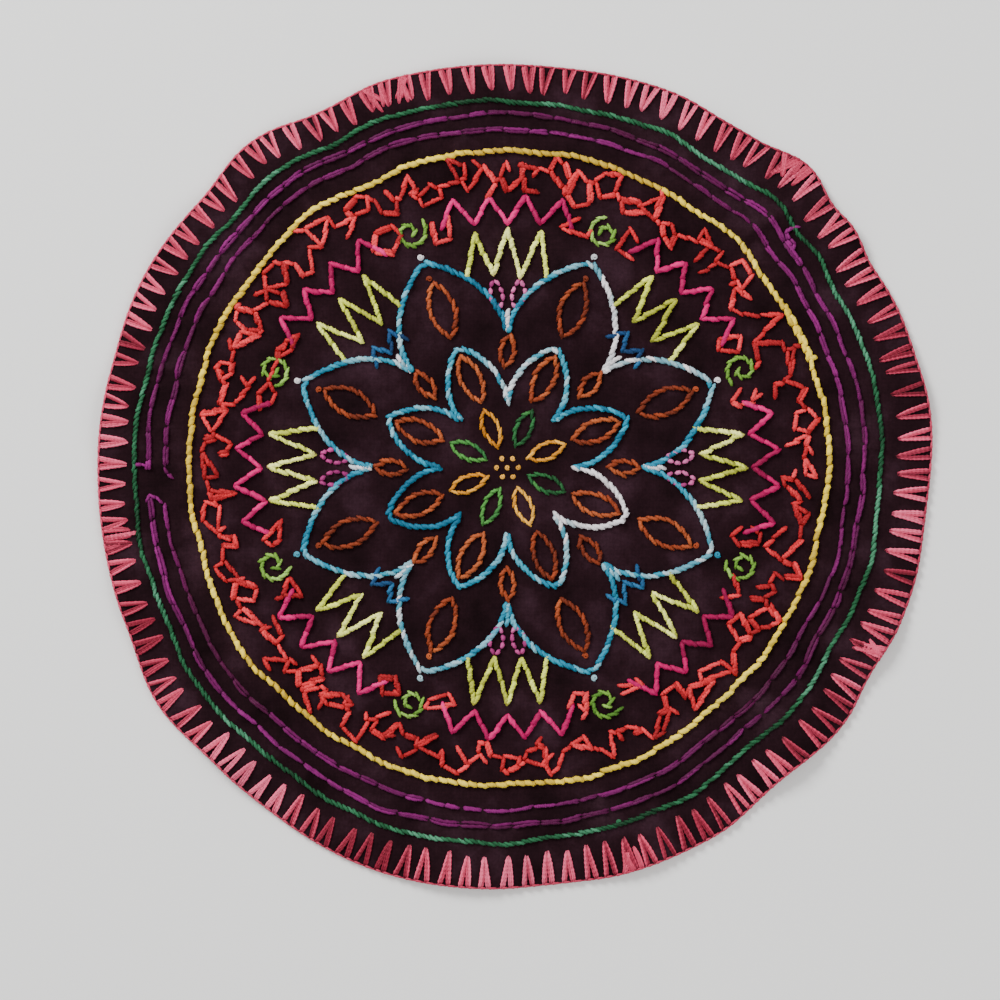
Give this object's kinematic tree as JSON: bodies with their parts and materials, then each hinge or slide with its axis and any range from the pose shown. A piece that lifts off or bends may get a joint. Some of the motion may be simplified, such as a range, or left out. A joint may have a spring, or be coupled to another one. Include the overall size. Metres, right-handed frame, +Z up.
{
  "type": "round embroidered rug",
  "caption": "Round dark cloth rug lying flat with a softly rippled rim, stitched border rings, a stitched flower outline and a long-stitch edging.",
  "frame": {"origin": "middle of the rug's bounding box, on the surface that it lies on", "axes": "+Z straight up out of the embroidered face, +Y towards the top of the rug as seen from above"},
  "size_m": [0.3012, 0.2974, 0.0063],
  "materials": {
    "ground_cloth": "matt near-black maroon cotton cloth",
    "edging_pink": "variegated pink to deep rose cotton thread",
    "thread_green": "variegated green cotton thread",
    "thread_purple": "variegated purple cotton thread",
    "thread_yellow": "yellow cotton thread",
    "thread_turquoise": "variegated turquoise to white cotton thread"
  },
  "bodies": {
    "root": {"ground_cloth": "ground_cloth", "edging": "edging_pink", "ring_green": "thread_green", "ring_purple_outer": "thread_purple", "ring_purple_inner": "thread_purple", "ring_yellow": "thread_yellow", "flower_outline": "thread_turquoise"}
  },
  "joints": []
}
